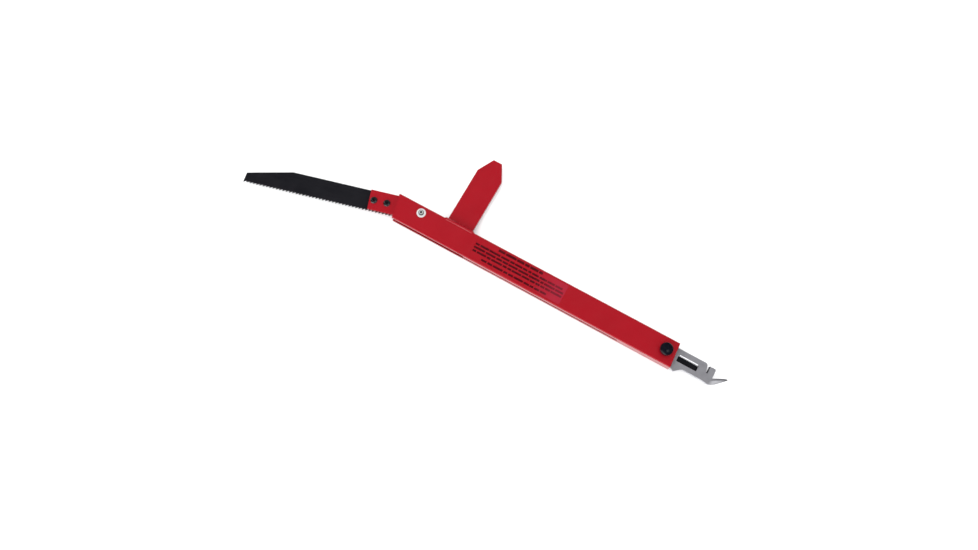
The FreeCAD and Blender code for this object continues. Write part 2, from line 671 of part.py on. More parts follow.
def clamp_knob():
    """Round knob: a fluted skirt under a spherical crown."""
    face = TUBE_HEIGHT + CLAMP_WASHER_THICKNESS
    skirt_top = face + KNOB_SKIRT_HEIGHT
    crown = face + KNOB_HEIGHT
    rise = KNOB_HEIGHT - KNOB_SKIRT_HEIGHT
    crown_radius = (KNOB_RADIUS**2 + rise**2) / (2 * rise)
    half_angle = math.asin(KNOB_RADIUS / crown_radius) / 2
    shoulder_z = crown - crown_radius * (1 - math.cos(half_angle))
    lower_rim = Vector(KNOB_RADIUS - KNOB_FOOT_BEVEL, 0, face)
    side_bottom = Vector(KNOB_RADIUS, 0, face + KNOB_FOOT_BEVEL)
    side_top = Vector(KNOB_RADIUS, 0, skirt_top)
    shoulder = Vector(crown_radius * math.sin(half_angle), 0, shoulder_z)
    top = Vector(0, 0, crown)
    foot = Vector(0, 0, face)
    edges = [
        Part.makeLine(foot, lower_rim),
        Part.makeLine(lower_rim, side_bottom),
        Part.makeLine(side_bottom, side_top),
        Part.Arc(side_top, shoulder, top).toShape(),
        Part.makeLine(top, foot),
    ]
    dome = Part.Face(Part.Wire(edges)).revolve(Vector(0, 0, 0), Vector(0, 0, 1), 360)
    dome.translate(Vector(STUD_X, STUD_Y, 0))
    flutes = []
    for index in range(KNOB_FLUTES):
        angle = 2 * math.pi * index / KNOB_FLUTES
        reach = KNOB_RADIUS + KNOB_FLUTE_RADIUS / 2
        x = STUD_X + reach * math.cos(angle)
        y = STUD_Y + reach * math.sin(angle)
        flutes.append(disc(x, y, KNOB_FLUTE_RADIUS, face - 1, crown))
    return dome.cut(flutes).cut(clamp_stud())


NODES = {
    "handle_tube": handle_tube,
    "pry_fin": pry_fin,
    "fin_weld": fin_weld,
    "label_film": label_film,
    "pivot_sleeve": pivot_sleeve,
    "pivot_screw": pivot_screw,
    "pivot_washer": pivot_washer,
    "spacer_lower": spacer_lower,
    "spacer_upper": spacer_upper,
    "cheek_lower": lambda: arm_cheek(ARM_BOTTOM),
    "cheek_upper": lambda: arm_cheek(BLADE_TOP),
    "arm_core": arm_core,
    "saw_blade": saw_blade,
    "blade_screws": blade_screws,
    "arm_rivets": arm_rivets,
    "pivot_bush": pivot_bush,
    "cutter_plate": cutter_plate,
    "strap_blade": strap_blade,
    "strap_blade_pins": strap_blade_pins,
    "guide_lower": guide_lower,
    "guide_upper": guide_upper,
    "clamp_nut": clamp_nut,
    "clamp_washer": clamp_washer,
    "clamp_stud": clamp_stud,
    "clamp_knob": clamp_knob,
}

os.makedirs("parts", exist_ok=True)
for name, make in NODES.items():
    shape = make()
    box = shape.BoundBox
    print(f"{name:18s} solids {len(shape.Solids)} valid {shape.isValid()} volume {shape.Volume:9.1f}")
    print(f"    x {box.XMin:.2f} to {box.XMax:.2f}, y {box.YMin:.2f} to {box.YMax:.2f}")
    print(f"    z {box.ZMin:.2f} to {box.ZMax:.2f}")
    shape.exportStep(f"parts/{name}.step")
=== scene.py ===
"""Looks of the vehicle rescue tool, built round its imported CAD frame. Metres, in the row frame."""

import json
import math
import random

import bmesh
import bpy
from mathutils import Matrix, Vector, noise


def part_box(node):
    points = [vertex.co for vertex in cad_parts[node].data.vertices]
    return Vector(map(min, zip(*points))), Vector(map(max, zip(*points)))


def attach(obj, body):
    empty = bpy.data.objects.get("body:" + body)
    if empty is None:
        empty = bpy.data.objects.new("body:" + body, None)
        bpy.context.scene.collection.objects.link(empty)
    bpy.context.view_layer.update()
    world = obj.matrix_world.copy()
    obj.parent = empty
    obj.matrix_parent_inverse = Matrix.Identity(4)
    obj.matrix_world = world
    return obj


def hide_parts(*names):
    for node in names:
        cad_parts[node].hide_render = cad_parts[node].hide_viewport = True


MM = 0.001

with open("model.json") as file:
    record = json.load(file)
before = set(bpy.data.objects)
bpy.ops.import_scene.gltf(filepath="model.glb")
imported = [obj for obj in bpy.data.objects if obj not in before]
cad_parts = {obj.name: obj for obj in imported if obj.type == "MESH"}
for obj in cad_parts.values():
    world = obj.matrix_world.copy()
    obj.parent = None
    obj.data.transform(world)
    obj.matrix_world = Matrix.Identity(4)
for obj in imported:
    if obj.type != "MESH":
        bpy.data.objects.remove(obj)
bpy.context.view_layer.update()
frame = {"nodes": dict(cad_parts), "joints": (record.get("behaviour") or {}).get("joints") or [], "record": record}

# Axis that the saw folds about, as (x, y)
pivot_axis = next(joint for joint in frame["joints"] if joint["name"] == "saw_fold")["pos_m"][:2]

# Camera, in metres and degrees
LOOK_AT = (-0.05586, -0.02211, 0.0037)
CAMERA_AZIMUTH = 29.237
CAMERA_ELEVATION = 74.798
CAMERA_DISTANCE = 1.30025
CAMERA_LENS = 33.07

# Light tent: (sine of the height above the horizon, level), level above the last
TENT_LEVELS = [(0.0, 0.8), (0.35, 1.0)]
TENT_BLUE = 1.01
TENT_STRENGTH = 1.45

# Floor, in metres: how far it reaches each way, and how far it lies under the tool
FLOOR_REACH = 4.0
FLOOR_GAP = 0.00005

# Saw blade, in its own axes: u outwards from the pivot, v towards its back, in millimetres
SAW_TILT = math.radians(15.4)
BLADE_OUTLINE = [(30.0, -8.0), (30.0, 16.6), (38.4, 19.3), (202.0, 19.3), (269.4, 2.5)]
NOSE_ROOT_U = 270.42
BLADE_HEEL = [(42.0, -10.3), (38.0, -8.0)]
BLADE_HOLES = [(54.1, 4.6), (73.7, 4.6)]
BLADE_HOLE_RADIUS = 3.05
BLADE_HOLE_SIDES = 32
TOOTH_TIP_V = -12.6
TOOTH_ROOT_V = -10.3
TOOTH_PITCH = 5.08
TOOTH_RAKE = 0.32
GULLET_FLAT = 0.9
TOOTH_COUNT = 45
TOOTH_SET = 0.28
BLADE_ROUNDING = 0.12

# Weld bead's section, in millimetres: (out from the fin, out from the handle's wall) at its start on the
# handle, its crest, its slope and its end on the fin, for its sides, its top and its underside. Its root is
# (into the fin, into the wall).
WELD_START = [(4.2, -0.06), (6.3, -3.0), (5.5, -0.75)]
WELD_CREST = [(3.8, 1.5), (9.8, -0.2), (5.7, 0.9)]
WELD_SLOPE = [(1.7, 3.3), (6.2, 2.0), (2.6, 2.9)]
WELD_END = [(-0.06, 3.8), (-0.06, 3.9), (-0.06, 3.8)]
WELD_ROOT = (0.4, 3.0)
WELD_UNEVENNESS = 0.06
WELD_STEPS = 14

# Weld bead's ripples, in millimetres. The bow is how far a ripple's middle lags its ends, in ripples. The
# variation and the sink are shares of the height.
RIPPLE_PITCH = 1.5
RIPPLE_HEIGHT = 0.26
RIPPLE_BOW = 0.55
RIPPLE_VARIATION = 0.5
RIPPLE_SINK = 0.6
RIPPLE_STEPS = 9
CORNER_TRAVEL = 4.0
CORNER_STEPS = 22

# Label print: lines of word-length bars, as (middle y, half height, left x, right x), in millimetres
PRINT_LINES = [
    (13.3, 1.9, -59.5, 12.5),
    (6.5, 1.6, -93.5, 51.5),
    (1.2, 1.6, -93.5, 51.5),
    (-4.2, 1.6, -93.0, 51.5),
    (-11.3, 1.6, -75.0, 34.5),
]
BAR_LENGTHS = (5.0, 18.0)
BAR_GAPS = (0.9, 1.5)
BAR_ROUNDING = 0.3
SHORTEST_BAR = 3.0
BAR_SEED = 11
INK_HALF_THICKNESS = 0.02

# Marks on the finishes, in metres. A pair is where a mark begins and where it is full, or a mark's two sides
# if its name ends in X or Y. The beak's edge and facet lie across its own direction, turned from +X to +Y.
# The beak's upper edge band and tip band are painted shade, and its lower facet band a painted highlight.
BEAK_TURN = math.radians(29.058)
BEAK_UPPER_EDGE = (-0.1447, -0.1438)
BEAK_UPPER_FROM = (0.2890, 0.2930)
BEAK_LOWER_FACET = (-0.1458, -0.1466)
BEAK_LOWER_FROM = (0.2880, 0.2925)
BEAK_TIP_FROM = (0.3020, 0.3085)
# The window bevel's band is a painted highlight.
WINDOW_BEVEL_X = (0.2362, 0.2646)
WINDOW_BEVEL_Y = (0.00438, 0.00562)
STRAP_EDGE_X = (0.27870, 0.28130)
STRAP_EDGE_FROM = (0.0012, 0.0013)
LABEL_FADE = (0.0, 0.040)
PRINT_FADE = (0.006, 0.040)
# The pivot screw's radii bound painted shade in its socket and round its head.
PIVOT_SOCKET_RADIUS = 0.0018
PIVOT_SIDE_RADIUS = 0.0030
# The blade screws' rim and front bounds place a painted highlight on each head.
BLADE_SCREW_RIM_FROM = (0.0026, 0.0034)
BLADE_SCREW_SIDE_FROM = (0.0055, 0.0056)
BLADE_SCREW_FRONT = (0.0005, -0.0022)


class Finish:
    """A node material built round one Principled shader."""

    def __init__(self, name):
        self.material = bpy.data.materials.new(name)
        self.material.use_nodes = True
        self.tree = self.material.node_tree
        self.tree.nodes.clear()
        self.shader = self.add("ShaderNodeBsdfPrincipled")
        surface = self.add("ShaderNodeOutputMaterial").inputs["Surface"]
        self.put(surface, self.shader.outputs["BSDF"])
        self.place = self.add("ShaderNodeTexCoord").outputs["Object"]

    def add(self, kind, **settings):
        """Adds a shader node."""
        node = self.tree.nodes.new(kind)
        for key, value in settings.items():
            setattr(node, key, value)
        return node

    def put(self, socket, value):
        """Gives an input a number, a colour or another node's output."""
        if isinstance(value, bpy.types.NodeSocket):
            self.tree.links.new(value, socket)
        else:
            socket.default_value = value

    def set(self, **inputs):
        """Sets the shader's inputs, named with _ for a space."""
        for key, value in inputs.items():
            self.put(self.shader.inputs[key.replace("_", " ")], value)

    def turned(self, angle):
        """The object's own coordinates, turned about Z."""
        mapping = self.add("ShaderNodeMapping")
        mapping.inputs["Rotation"].default_value = (0, 0, angle)
        self.put(mapping.inputs["Vector"], self.place)
        return mapping.outputs["Vector"]

    def grain(self, per_metre, detail=2.0, rough=0.5, place=None):
        """Noise from 0 to 1; per_metre is one number, or one for each axis."""
        scale = per_metre if isinstance(per_metre, tuple) else (per_metre,) * 3
        mapping = self.add("ShaderNodeMapping")
        mapping.inputs["Scale"].default_value = scale
        self.put(mapping.inputs["Vector"], place or self.place)
        texture = self.add("ShaderNodeTexNoise")
        self.put(texture.inputs["Vector"], mapping.outputs["Vector"])
        self.put(texture.inputs["Scale"], 1.0)
        self.put(texture.inputs["Detail"], detail)
        self.put(texture.inputs["Roughness"], rough)
        return texture.outputs["Fac"]

    def along(self, axis):
        """One of the object's own coordinates, in metres."""
        split = self.add("ShaderNodeSeparateXYZ")
        self.put(split.inputs[0], self.place)
        return split.outputs[axis]

    def from_axis(self, x, y):
        """Distance in metres from an upright axis through a point given in metres."""
        across = self.calc("SUBTRACT", self.along("X"), x)
        back = self.calc("SUBTRACT", self.along("Y"), y)
        square = self.calc("ADD", self.calc("MULTIPLY", across, across), self.calc("MULTIPLY", back, back))
        return self.calc("SQRT", square, 0.0)

    def span(self, value, low, high, to_low=0.0, to_high=1.0):
        """Maps low..high to to_low..to_high, clamped."""
        node = self.add("ShaderNodeMapRange")
        names = ("Value", "From Min", "From Max", "To Min", "To Max")
        for name, number in zip(names, (value, low, high, to_low, to_high)):
            self.put(node.inputs[name], number)
        return node.outputs["Result"]

    def within(self, value, low, high, soft):
        """1 between low and high, falling to 0 at them over this distance."""
        return self.calc("MULTIPLY", self.span(value, low, low + soft), self.span(value, high, high - soft))

    def calc(self, operation, a, b):
        """One step of arithmetic on numbers or other nodes' outputs."""
        node = self.add("ShaderNodeMath", operation=operation)
        self.put(node.inputs[0], a)
        self.put(node.inputs[1], b)
        return node.outputs[0]

    def mix(self, share, a, b):
        """Colour a where share is 0, and b where it is 1."""
        node = self.add("ShaderNodeMix", data_type="RGBA")
        self.put(node.inputs[0], share)
        for socket, value in ((node.inputs[6], a), (node.inputs[7], b)):
            self.put(socket, value if isinstance(value, bpy.types.NodeSocket) else (*value, 1.0))
        return node.outputs[2]

    def edges(self, radius, sharpness=0.25):
        """About 1 within this distance of a sharp edge, where the rounded normal leaves the flat one."""
        flattest = 0.985
        rounded = self.add("ShaderNodeBevel", samples=6)
        self.put(rounded.inputs["Radius"], radius)
        flat = self.add("ShaderNodeNewGeometry").outputs["Normal"]
        dot = self.add("ShaderNodeVectorMath", operation="DOT_PRODUCT")
        self.put(dot.inputs[0], rounded.outputs["Normal"])
        self.put(dot.inputs[1], flat)
        return self.span(dot.outputs["Value"], flattest, flattest - sharpness)

    def bump(self, height, distance, strength=1.0, below=None):
        """A normal bumped by a height of 0 to 1 over this distance in metres, on top of the one below."""
        node = self.add("ShaderNodeBump")
        self.put(node.inputs["Height"], height)
        self.put(node.inputs["Distance"], distance)
        self.put(node.inputs["Strength"], strength)
        if below is not None:
            self.put(node.inputs["Normal"], below)
        return node.outputs["Normal"]


def red_enamel(name, clear=0.0, pooled=0.0):
    """Glossy sprayed enamel over steel: orange peel; sharp edges darkened, partly thin paint and partly painted
    edge shade. clear adds a film's gloss and its fading right end, and pooled the gloss of a thicker coat."""
    f = Finish(name)
    broad = f.grain(26.0, 3.0)
    fine = f.grain(420.0, 2.0)
    red = f.mix(f.span(broad, 0.3, 0.7), (0.240, 0.0015, 0.0067), (0.222, 0.0012, 0.0059))
    red = f.mix(f.span(fine, 0.35, 0.75, 0.0, 0.22), red, (0.264, 0.0028, 0.0090))
    # Sharp edges darkened: thin paint there, and painted shade along the edges.
    edge = f.edges(0.0007)
    thin_paint_and_edge_shade = f.calc("MULTIPLY", edge, f.span(fine, 0.3, 0.6, 0.25, 0.75))
    red = f.mix(thin_paint_and_edge_shade, red, (0.105, 0.0012, 0.0036))
    if clear:
        along = f.calc("ADD", f.along("X"), f.span(f.grain(90.0, 2.0), 0.3, 0.7, -0.008, 0.008))
        red = f.mix(f.span(along, *LABEL_FADE), red, (0.246, 0.0075, 0.0200))
    f.set(Base_Color=red)
    f.set(Roughness=f.span(f.grain(60.0, 2.0), 0.2, 0.8, 0.19, 0.22))
    f.set(IOR=1.45, Coat_Weight=0.3 + 0.3 * clear + 0.7 * pooled, Coat_Roughness=0.09 - 0.05 * clear)
    peel = f.bump(f.grain(420.0, 1.0, 0.4), 0.000006, 1.0 - 0.6 * clear)
    f.set(Normal=peel)
    return f.material


def blade_black():
    """Black coated blade steel, rolled along its length, rubbed at its edges. The strap blade's edge is
    ground where it stands in the strap notch."""
    f = Finish("blade_black")
    along = f.turned(-SAW_TILT)
    rolled = f.grain((14.0, 900.0, 900.0), 4.0, 0.6, along)
    cloud = f.grain(45.0, 3.0, 0.6, along)
    black = f.mix(f.span(cloud, 0.3, 0.7), (0.0044, 0.0043, 0.0059), (0.0072, 0.0069, 0.0089))
    black = f.mix(f.span(rolled, 0.45, 0.75, 0.0, 0.35), black, (0.0110, 0.0108, 0.0128))
    patches = f.span(f.grain(500.0, 3.0, 0.6), 0.45, 0.62, 0.0, 0.7)
    rub = f.calc("MULTIPLY", f.edges(0.00022, 0.4), patches)
    grind = f.within(f.along("X"), *STRAP_EDGE_X, 0.00005)
    grind = f.calc("MULTIPLY", grind, f.span(f.along("Y"), *STRAP_EDGE_FROM))
    black = f.mix(f.calc("MULTIPLY", grind, 0.95), black, (0.16, 0.16, 0.17))
    bare = f.calc("MAXIMUM", rub, grind)
    f.set(Base_Color=f.mix(rub, black, (0.20, 0.20, 0.21)), Metallic=f.span(bare, 0.0, 1.0, 0.0, 0.7))
    scratch = f.grain((30.0, 2600.0, 2600.0), 3.0, 0.7, f.turned(-SAW_TILT + 0.12))
    gloss = f.calc("ADD", f.span(rolled, 0.3, 0.7, 0.28, 0.40), f.span(scratch, 0.62, 0.7, 0.0, -0.08))
    f.set(Roughness=gloss, IOR=1.45, Specular_IOR_Level=0.35)
    f.set(Normal=f.bump(scratch, 0.000004, 0.6, f.bump(rolled, 0.000010, 0.6)))
    return f.material


def ground_steel():
    """Satin plate, ground along its length, brighter where its edges are broken, with a painted highlight on its
    window's bevel. Its beak has a painted highlight on its lower facet and painted shade at its tip and upper
    edge."""
    f = Finish("ground_steel")
    lines = f.grain((60.0, 5200.0, 5200.0), 4.0, 0.65)
    cloud = f.grain(120.0, 3.0, 0.6)
    grey = f.mix(f.span(cloud, 0.3, 0.7), (0.355, 0.352, 0.380), (0.435, 0.431, 0.460))
    grey = f.mix(f.span(lines, 0.35, 0.7, 0.0, 0.5), grey, (0.485, 0.481, 0.510))
    spot = f.span(f.grain(900.0, 4.0, 0.7), 0.70, 0.78, 0.0, 0.6)
    grey = f.mix(spot, grey, (0.30, 0.29, 0.28))
    grey = f.mix(f.edges(0.00025, 0.4), grey, (0.82, 0.82, 0.83))
    rise_y = f.calc("MULTIPLY", f.along("Y"), math.cos(BEAK_TURN))
    rise = f.calc("SUBTRACT", rise_y, f.calc("MULTIPLY", f.along("X"), math.sin(BEAK_TURN)))
    # Painted shade along the beak's upper edge.
    upper = f.calc("MULTIPLY", f.span(rise, *BEAK_UPPER_EDGE), f.span(f.along("X"), *BEAK_UPPER_FROM))
    # Painted highlight on the beak's lower facet.
    lower = f.calc("MULTIPLY", f.span(rise, *BEAK_LOWER_FACET), f.span(f.along("X"), *BEAK_LOWER_FROM))
    grey = f.mix(f.calc("MULTIPLY", lower, 0.75), grey, (0.74, 0.74, 0.77))
    # Painted shade darkening the beak towards its tip.
    tip = f.span(f.along("X"), *BEAK_TIP_FROM, 0.0, 0.8)
    grey = f.mix(f.calc("MAXIMUM", f.calc("MULTIPLY", upper, 0.75), tip), grey, (0.16, 0.16, 0.165))
    # Painted highlight on the window's upper bevel.
    bevel_highlight = f.within(f.along("X"), *WINDOW_BEVEL_X, 0.0002)
    bevel_highlight = f.calc("MULTIPLY", bevel_highlight, f.within(f.along("Y"), *WINDOW_BEVEL_Y, 0.00004))
    grey = f.mix(bevel_highlight, grey, (0.90, 0.90, 0.93))
    f.set(Base_Color=grey, Metallic=0.7)
    f.set(Roughness=f.calc("ADD", f.span(lines, 0.3, 0.7, 0.27, 0.42), f.calc("MULTIPLY", spot, 0.2)))
    f.set(Normal=f.bump(lines, 0.000010, 0.7))
    return f.material


def zinc_plate(name, metallic, shade_rings=None):
    """Bright zinc: faint blue and straw tints, fine turning marks. The last argument paints shade into a screw's
    socket and round the side of its head, as ((x, y) of its axis, socket's radius, side's radius), in metres."""
    f = Finish(name)
    tint = f.grain(160.0, 2.0)
    colour = f.mix(f.span(tint, 0.35, 0.65), (0.80, 0.82, 0.86), (0.86, 0.84, 0.78))
    dull = f.span(f.grain(900.0, 3.0, 0.6), 0.60, 0.80, 0.0, 0.2)
    colour = f.mix(dull, colour, (0.55, 0.55, 0.56))
    colour = f.mix(f.edges(0.0002), colour, (0.9, 0.9, 0.9))
    if shade_rings:
        axis, socket, side = shade_rings
        out = f.from_axis(*axis)
        # Painted shade in the screw's socket and round the side of its head.
        socket_and_side_shade = f.calc("MAXIMUM", f.span(out, socket + 0.0001, socket), f.span(out, side, side + 0.0002))
        colour = f.mix(socket_and_side_shade, colour, (0.035, 0.036, 0.040))
    f.set(Base_Color=colour, Metallic=metallic)
    gloss = f.span(f.grain(2400.0, 2.0), 0.3, 0.7, 0.16, 0.28)
    f.set(Roughness=f.calc("ADD", gloss, f.calc("MULTIPLY", dull, 0.3)))
    f.set(Normal=f.bump(f.grain(3200.0, 2.0), 0.000003, 0.6))
    return f.material


def black_oxide(head_axes):
    """Oiled black oxide on alloy steel, rubbed to grey on its corners, with a painted grey highlight on the
    front rims of the heads at these axes."""
    f = Finish("black_oxide")
    cloud = f.grain(700.0, 3.0, 0.6)
    black = f.mix(f.span(cloud, 0.3, 0.7), (0.006, 0.006, 0.007), (0.012, 0.012, 0.014))
    patches = f.span(f.grain(1500.0, 2.0), 0.4, 0.65, 0.1, 0.6)
    rub = f.calc("MULTIPLY", f.edges(0.00018, 0.3), patches)
    for axis in head_axes:
        out = f.from_axis(*axis)
        # A grey crescent painted on each head's front rim stands in for a highlight.
        on_head = f.span(out, *BLADE_SCREW_SIDE_FROM, 1.0, 0.0)
        rim_highlight = f.calc("MULTIPLY", f.span(out, *BLADE_SCREW_RIM_FROM), on_head)
        behind = f.calc("SUBTRACT", f.along("Y"), axis[1])
        rim_highlight = f.calc("MULTIPLY", rim_highlight, f.span(behind, *BLADE_SCREW_FRONT, 0.04, 1.0))
        # The grey mix below holds rubbed corners and the painted rim highlights.
        rub = f.calc("MAXIMUM", rub, rim_highlight)
    f.set(Base_Color=f.mix(rub, black, (0.22, 0.22, 0.23)), Metallic=f.span(rub, 0.0, 1.0, 0.35, 1.0))
    f.set(Roughness=f.span(cloud, 0.3, 0.7, 0.15, 0.25), IOR=1.6)
    f.set(Normal=f.bump(f.grain(2600.0, 2.0), 0.000004, 0.6))
    return f.material


def black_phenolic():
    """Moulded and polished black phenolic, with faint flow marks and dust."""
    f = Finish("black_phenolic")
    flow = f.grain((120.0, 120.0, 420.0), 3.0, 0.6)
    black = f.mix(f.span(flow, 0.3, 0.7), (0.0024, 0.0027, 0.0052), (0.0040, 0.0044, 0.0075))
    dust = f.span(f.grain(2300.0, 1.0), 0.71, 0.78)
    black = f.mix(f.calc("MULTIPLY", dust, 0.5), black, (0.05, 0.05, 0.05))
    black = f.mix(f.calc("MULTIPLY", f.edges(0.0003), 0.4), black, (0.040, 0.041, 0.043))
    f.set(Base_Color=black, IOR=1.5)
    f.set(Roughness=f.span(flow, 0.3, 0.7, 0.12, 0.24))
    f.set(Normal=f.bump(f.grain(500.0, 2.0), 0.000006, 0.5, f.bump(dust, 0.000006, 0.4)))
    return f.material


def nylon():
    """Natural machined nylon."""
    f = Finish("nylon")
    cloud = f.grain(130.0, 2.0)
    cream = f.mix(f.span(cloud, 0.3, 0.7), (0.66, 0.65, 0.60), (0.74, 0.73, 0.69))
    cut = f.grain((2600.0, 90.0, 2600.0), 2.0)
    f.set(Base_Color=f.mix(f.edges(0.0003), cream, (0.80, 0.80, 0.77)))
    f.set(Roughness=f.span(cut, 0.3, 0.7, 0.42, 0.56), Subsurface_Weight=0.15, Subsurface_Scale=0.001)
    f.set(Normal=f.bump(cut, 0.00001, 0.6))
    return f.material


def bare_steel():
    """Plain oiled steel."""
    f = Finish("bare_steel")
    cloud = f.grain(260.0, 4.0, 0.6)
    grey = f.mix(f.span(cloud, 0.3, 0.7), (0.36, 0.36, 0.37), (0.50, 0.50, 0.51))
    f.set(Base_Color=f.mix(f.edges(0.0002), grey, (0.66, 0.66, 0.67)), Metallic=1.0)
    f.set(Roughness=f.span(cloud, 0.3, 0.7, 0.30, 0.46))
    f.set(Normal=f.bump(f.grain(1800.0, 3.0, 0.6), 0.000008, 0.6))
    return f.material


def bronze():
    """Sintered bronze, with its fine pores."""
    f = Finish("bronze")
    pores = f.grain(2600.0, 2.0)
    warm = f.mix(f.span(f.grain(300.0, 2.0), 0.3, 0.7), (0.58, 0.36, 0.17), (0.68, 0.45, 0.23))
    f.set(Base_Color=f.mix(f.span(pores, 0.6, 0.7), warm, (0.16, 0.09, 0.05)), Metallic=0.9)
    f.set(Roughness=f.span(pores, 0.3, 0.7, 0.38, 0.6), Normal=f.bump(pores, 0.00001, 0.7))
    return f.material


def print_ink():
    """Dark print under the film, rubbed pale towards the label's right end."""
    f = Finish("print_ink")
    patch = f.grain(380.0, 3.0, 0.6)
    ink = f.mix(f.span(patch, 0.35, 0.7), (0.046, 0.0010, 0.003), (0.062, 0.0016, 0.004))
    along = f.calc("ADD", f.along("X"), f.span(patch, 0.3, 0.7, -0.006, 0.006))
    pale = f.span(along, *PRINT_FADE, 0.0, 0.36)
    f.set(Base_Color=f.mix(pale, ink, (0.23, 0.016, 0.034)))
    f.set(Roughness=f.span(patch, 0.3, 0.7, 0.16, 0.24), Coat_Weight=0.8, Coat_Roughness=0.04)
    return f.material


def place_object(name, data):
    """Puts a new object in the scene."""
    item = bpy.data.objects.new(name, data)
    bpy.context.scene.collection.objects.link(item)
    return item


def new_piece(name, mesh_maker, material, body, slot, *stands_for):
    """Makes the mesh object, gives it its material and body, and hides the CAD nodes that it stands for."""
    bm = bmesh.new()
    mesh_maker(bm)
    bmesh.ops.recalc_face_normals(bm, faces=bm.faces)
    mesh = bpy.data.meshes.new(name)
    bm.to_mesh(mesh)
    bm.free()
    piece = place_object(name, mesh)
    mesh.materials.append(material)
    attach(piece, body)
    if stands_for:
        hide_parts(*stands_for)
    return piece


def weld_path(half_x, half_z):
    """Stations round the fin's root, as (x, z, angle facing outwards, distance travelled), and its length."""
    stations = []
    travelled = 0.0
    corner_travel = CORNER_TRAVEL * MM
    corners = [(half_x, -half_z), (half_x, half_z), (-half_x, half_z), (-half_x, -half_z)]
    for (x, z), (next_x, next_z) in zip(corners, corners[1:] + corners[:1]):
        length = math.hypot(next_x - x, next_z - z)
        outwards = math.atan2(next_z - z, next_x - x) - math.pi / 2
        count = max(2, round(length / (RIPPLE_PITCH * MM) * RIPPLE_STEPS))
        for i in range(count):
            share = i / count
            place = (x + (next_x - x) * share, z + (next_z - z) * share)
            stations.append((*place, outwards, travelled + length * share))
        travelled += length
        for i in range(CORNER_STEPS):
            turned = outwards + math.pi / 2 * i / CORNER_STEPS
            stations.append((next_x, next_z, turned, travelled + corner_travel * i / CORNER_STEPS))
        travelled += corner_travel
    return stations, travelled


def weld_section(outwards):
    """The four control points of the bead's section, in metres, where the bead faces this way."""
    top = max(0.0, math.sin(outwards)) ** 2
    under = max(0.0, -math.sin(outwards)) ** 2
    shares = (1 - top - under, top, under)
    for choices in (WELD_START, WELD_CREST, WELD_SLOPE, WELD_END):
        yield sum((Vector(place) * share for place, share in zip(choices, shares)), Vector((0, 0))) * MM


def ripple_height(phase, ripples):
    """How far the bead stands out, in metres, this many ripples from its start: each ripple falls off from
    its own start. The noise is read off its lattice, where it would be 0."""
    number = math.floor(phase)
    part = phase - number
    size = 1 + RIPPLE_VARIATION * noise.noise(Vector((number % ripples * 1.37, 0.3, 0.9)))
    return RIPPLE_HEIGHT * MM * size * (math.sqrt(1 - part * part) - RIPPLE_SINK)


def weld_bead(bm):
    """Convex fillet round the fin's root, lapped over the handle's top corner and laid down in ripples."""
    fin_low, fin_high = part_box("pry_fin")
    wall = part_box("handle_tube")[1].y
    centre = (fin_low + fin_high) / 2
    stations, travelled = weld_path((fin_high.x - fin_low.x) / 2, (fin_high.z - fin_low.z) / 2)
    ripples = round(travelled / (RIPPLE_PITCH * MM))
    into_fin, into_wall = WELD_ROOT[0] * MM, WELD_ROOT[1] * MM
    rings = []
    for x, z, outwards, s in stations:
        start, crest, slope, end = weld_section(outwards)
        unevenness = WELD_UNEVENNESS * noise.noise(Vector((s * 260, 1.7, 4.1)))
        ring = []
        for j in range(WELD_STEPS + 1):
            t = j / WELD_STEPS
            u = 1 - t
            swell = math.sin(math.pi * t)
            spot = start * u ** 3 + crest * 3 * t * u ** 2 + slope * 3 * t * t * u + end * t ** 3
            lean = (crest - start) * u ** 2 + (slope - crest) * 2 * t * u + (end - slope) * t * t
            phase = s / travelled * ripples + RIPPLE_BOW * (2 * t - 1) ** 2
            lift = ripple_height(phase, ripples) * swell
            spot = spot * (1 + unevenness * swell) + Vector((lean.y, -lean.x)).normalized() * lift
            off_x, off_z = spot.x * math.cos(outwards), spot.x * math.sin(outwards)
            ring.append(bm.verts.new((centre.x + x + off_x, wall + spot.y, centre.z + z + off_z)))
        root_x, root_z = x - math.copysign(into_fin, x), z - math.copysign(into_fin, z)
        ring.append(bm.verts.new((centre.x + root_x, wall - into_wall, centre.z + root_z)))
        rings.append(ring)
    for a, b in zip(rings, rings[1:] + rings[:1]):
        for j in range(len(a)):
            k = (j + 1) % len(a)
            bm.faces.new((a[j], a[k], b[k], b[j]))
    bmesh.ops.remove_doubles(bm, verts=bm.verts, dist=1e-7)
    bmesh.ops.dissolve_degenerate(bm, dist=1e-7, edges=bm.edges)


def saw_point(u, v):
    """The (x, y) in metres of a point given in the saw's own axes."""
    x = pivot_axis[0] - (u * math.cos(SAW_TILT) + v * math.sin(SAW_TILT)) * MM
    y = pivot_axis[1] + (-u * math.sin(SAW_TILT) + v * math.cos(SAW_TILT)) * MM
    return x, y


